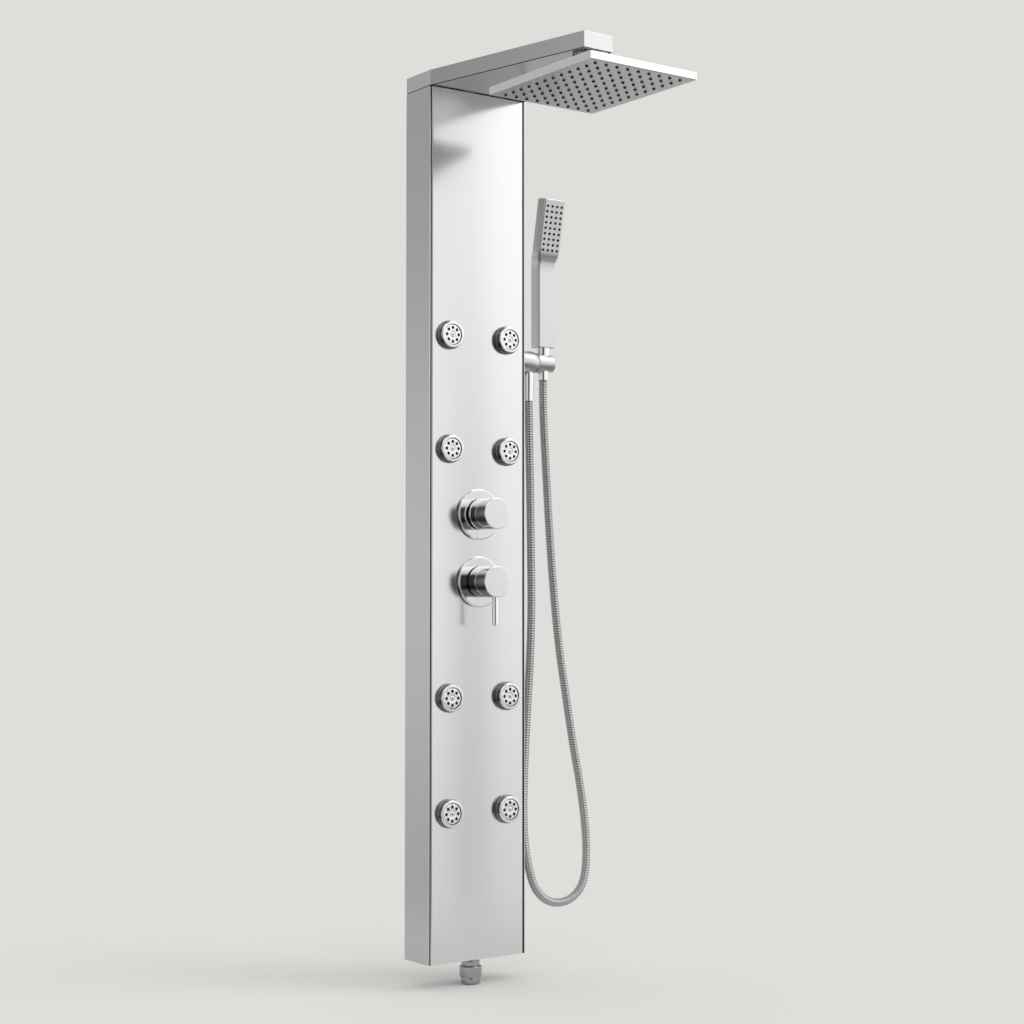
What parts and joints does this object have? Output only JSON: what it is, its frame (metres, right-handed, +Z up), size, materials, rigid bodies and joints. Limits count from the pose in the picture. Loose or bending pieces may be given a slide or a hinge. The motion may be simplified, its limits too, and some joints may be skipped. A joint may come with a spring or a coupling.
{
  "type": "shower panel column",
  "caption": "Wall-hung stainless shower column with a rain head on a tapered arm, body jets, a diverter, a lever mixer and a hand shower on a hose.",
  "frame": {"origin": "on the wall plane, in the middle of the four wall screws, at half the column's height", "axes": "+Z up, -Y out of the wall towards the user, +X to the user's right (the hand shower's side)"},
  "size_m": [0.345, 0.493, 1.4655],
  "materials": {
    "satin_steel": "satin brushed stainless steel",
    "side_steel": "satin stainless steel",
    "fixing_steel": "plain mill finish",
    "black_rubber": "matte black",
    "nozzle_rubber": "soft dark silicone",
    "seat_plastic": "low-friction plastic",
    "bare_brass": "as machined",
    "chrome": "polished chrome plate",
    "jet_face": "chrome-plated plastic",
    "hose_steel": "polished ribbed metal"
  },
  "bodies": {
    "panel": {"front_plate": "satin_steel", "arm_shell": "satin_steel", "arm_underplate": "satin_steel", "holder_base": "satin_steel", "side_sheets": "side_steel", "bottom_cap": "side_steel", "wall_brackets": "fixing_steel", "hang_rails": "fixing_steel", "jet_locknuts": "fixing_steel", "valve_locknuts": "fixing_steel", "holder_locknut": "fixing_steel", "jet_pipes": "fixing_steel", "corner_seals": "black_rubber", "arm_seals": "black_rubber", "jet_washers": "black_rubber", "arm_feed_pipe": "bare_brass", "link_pipe": "bare_brass", "rain_pipe": "bare_brass", "handset_pipe": "bare_brass", "service_pipe": "bare_brass", "diverter_valve": "bare_brass", "mixer_valve": "bare_brass", "swivel_socket": "chrome", "diverter_rose": "chrome", "mixer_rose": "chrome", "union_neck": "chrome", "union_nut": "chrome", "hose_ferrule": "chrome", "jet_bezel_1": "chrome", "jet_bezel_2": "chrome", "jet_bezel_3": "chrome", "jet_bezel_4": "chrome", "jet_bezel_5": "chrome", "jet_bezel_6": "chrome", "jet_bezel_7": "chrome", "jet_bezel_8": "chrome", "hose": "hose_steel"},
    "nod_seat": {"upper_ball_seat": "seat_plastic"},
    "roll_seat": {"lower_ball_seat": "seat_plastic"},
    "rain_head": {"head_ball": "chrome", "head_cover": "chrome", "head_plate": "satin_steel", "head_nozzles": "nozzle_rubber"},
    "diverter": {"diverter_knob": "chrome", "diverter_spindle": "bare_brass"},
    "mixer": {"mixer_knob": "chrome", "mixer_lever": "chrome", "mixer_spindle": "bare_brass"},
    "holder": {"holder_swivel": "satin_steel"},
    "hand_shower": {"handset_shell": "satin_steel", "handset_nozzles": "nozzle_rubber", "hose_cone_nut": "chrome"},
    "jet_1": {"jet_insert_1": "jet_face"},
    "jet_2": {"jet_insert_2": "jet_face"},
    "jet_3": {"jet_insert_3": "jet_face"},
    "jet_4": {"jet_insert_4": "jet_face"},
    "jet_5": {"jet_insert_5": "jet_face"},
    "jet_6": {"jet_insert_6": "jet_face"},
    "jet_7": {"jet_insert_7": "jet_face"},
    "jet_8": {"jet_insert_8": "jet_face"}
  },
  "joints": [
    {"name": "head_nod", "type": "hinge", "parent": "panel", "child": "nod_seat", "pos_m": [0, -0.358, 0.68], "axis": [1, 0, 0], "range_deg": [-12, 12]},
    {"name": "head_roll", "type": "hinge", "parent": "nod_seat", "child": "roll_seat", "pos_m": [0, -0.358, 0.68], "axis": [0, 1, 0], "range_deg": [-12, 12]},
    {"name": "head_spin", "type": "hinge", "parent": "roll_seat", "child": "rain_head", "pos_m": [0, -0.358, 0.68], "axis": [0, 0, 1], "continuous": true},
    {"name": "diverter_turn", "type": "hinge", "parent": "panel", "child": "diverter", "pos_m": [0, -0.1, 0.013], "axis": [0, -1, 0], "range_deg": [-90, 90]},
    {"name": "mixer_turn", "type": "hinge", "parent": "panel", "child": "mixer", "pos_m": [0, -0.1, -0.096], "axis": [0, -1, 0], "range_deg": [0, 110]},
    {"name": "holder_tilt", "type": "hinge", "parent": "panel", "child": "holder", "pos_m": [0.137, -0.042, 0.271], "axis": [1, 0, 0], "range_deg": [-8, 25], "deforming": ["hose"]},
    {"name": "handset_lift", "type": "slide", "parent": "holder", "child": "hand_shower", "axis": [0, 0, 1], "range_m": [0, 0.036]},
    {"name": "jet_tilt_1", "type": "hinge", "parent": "panel", "child": "jet_1", "pos_m": [-0.0565, -0.0735, 0.3], "axis": [1, 0, 0], "range_deg": [-12, 12]},
    {"name": "jet_tilt_2", "type": "hinge", "parent": "panel", "child": "jet_2", "pos_m": [0.0565, -0.0735, 0.3], "axis": [1, 0, 0], "range_deg": [-12, 12]},
    {"name": "jet_tilt_3", "type": "hinge", "parent": "panel", "child": "jet_3", "pos_m": [-0.0565, -0.0735, 0.117], "axis": [1, 0, 0], "range_deg": [-12, 12]},
    {"name": "jet_tilt_4", "type": "hinge", "parent": "panel", "child": "jet_4", "pos_m": [0.0565, -0.0735, 0.117], "axis": [1, 0, 0], "range_deg": [-12, 12]},
    {"name": "jet_tilt_5", "type": "hinge", "parent": "panel", "child": "jet_5", "pos_m": [-0.0565, -0.0735, -0.281], "axis": [1, 0, 0], "range_deg": [-12, 12]},
    {"name": "jet_tilt_6", "type": "hinge", "parent": "panel", "child": "jet_6", "pos_m": [0.0565, -0.0735, -0.281], "axis": [1, 0, 0], "range_deg": [-12, 12]},
    {"name": "jet_tilt_7", "type": "hinge", "parent": "panel", "child": "jet_7", "pos_m": [-0.0565, -0.0735, -0.464], "axis": [1, 0, 0], "range_deg": [-12, 12]},
    {"name": "jet_tilt_8", "type": "hinge", "parent": "panel", "child": "jet_8", "pos_m": [0.0565, -0.0735, -0.464], "axis": [1, 0, 0], "range_deg": [-12, 12]}
  ]
}
